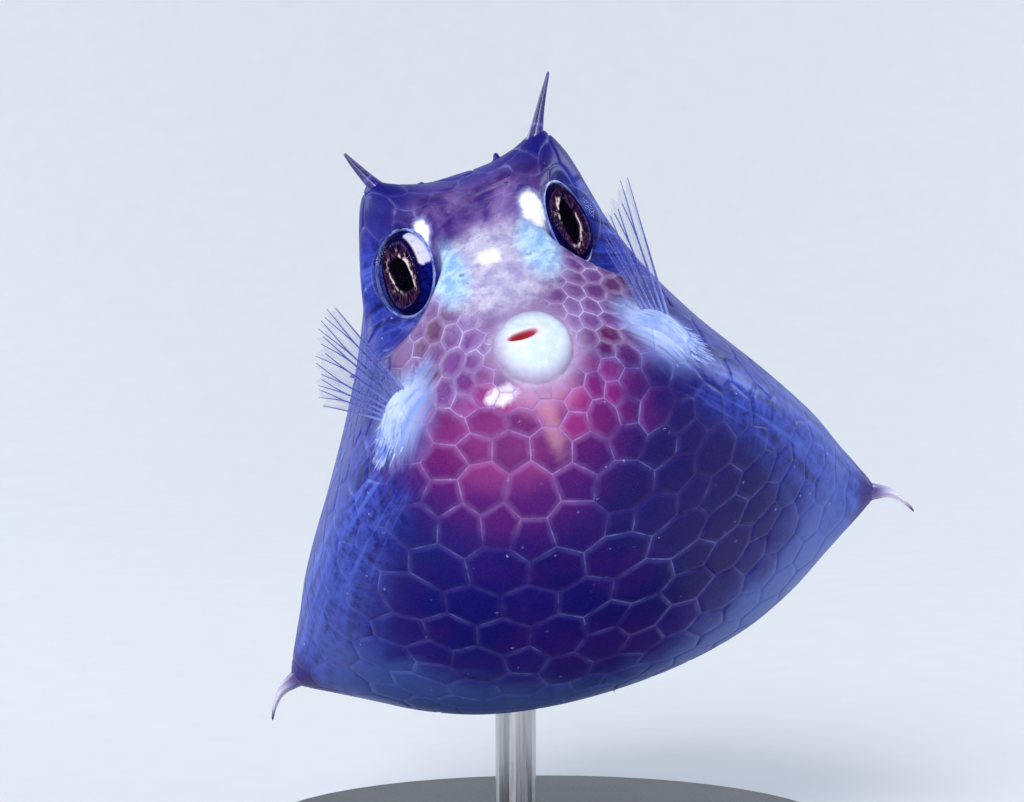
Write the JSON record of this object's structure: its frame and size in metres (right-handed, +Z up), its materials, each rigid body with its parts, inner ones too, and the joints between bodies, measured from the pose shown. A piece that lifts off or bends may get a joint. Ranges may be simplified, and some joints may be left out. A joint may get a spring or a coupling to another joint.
{
  "type": "thornback cowfish model",
  "caption": "Life-size still model of a juvenile thornback cowfish, boxy plated shell with horns and corner spines, nose up on a plain display stand.",
  "frame": {"origin": "centre of the underside of the stand's base, on the surface that it rests on", "axes": "+Z up; the fish looks towards -Y, nose up and rolled, with its left side towards +X"},
  "size_m": [0.0409, 0.0458, 0.0479],
  "materials": {
    "shell_skin": "moist translucent skin over raised shell plates, blue and violet with pale seams",
    "pale_flesh": "soft pale flesh",
    "eye": "clear glossy cornea over a dark iris",
    "horn_skin": "dark blue skin over a bony horn",
    "spine_tip": "pale bony point",
    "fin_membrane": "thin clear membrane with darker rays",
    "stand_base_paint": "satin black paint",
    "stand_rod_steel": "plain brushed steel"
  },
  "bodies": {
    "root": {"head": "shell_skin", "carapace": "shell_skin", "lips": "pale_flesh", "eye_left": "eye", "eye_right": "eye", "horn_left": "horn_skin", "horn_right": "horn_skin", "pelvic_spine_left": "spine_tip", "pelvic_spine_right": "spine_tip", "back_thorn": "horn_skin", "ridge_thorn_left": "horn_skin", "ridge_thorn_right": "horn_skin", "pectoral_fin_left": "fin_membrane", "pectoral_fin_right": "fin_membrane", "dorsal_fin": "fin_membrane", "anal_fin": "fin_membrane", "tail_peduncle": "shell_skin", "tail_fin": "fin_membrane", "stand_base": "stand_base_paint", "stand_rod": "stand_rod_steel"}
  },
  "joints": []
}
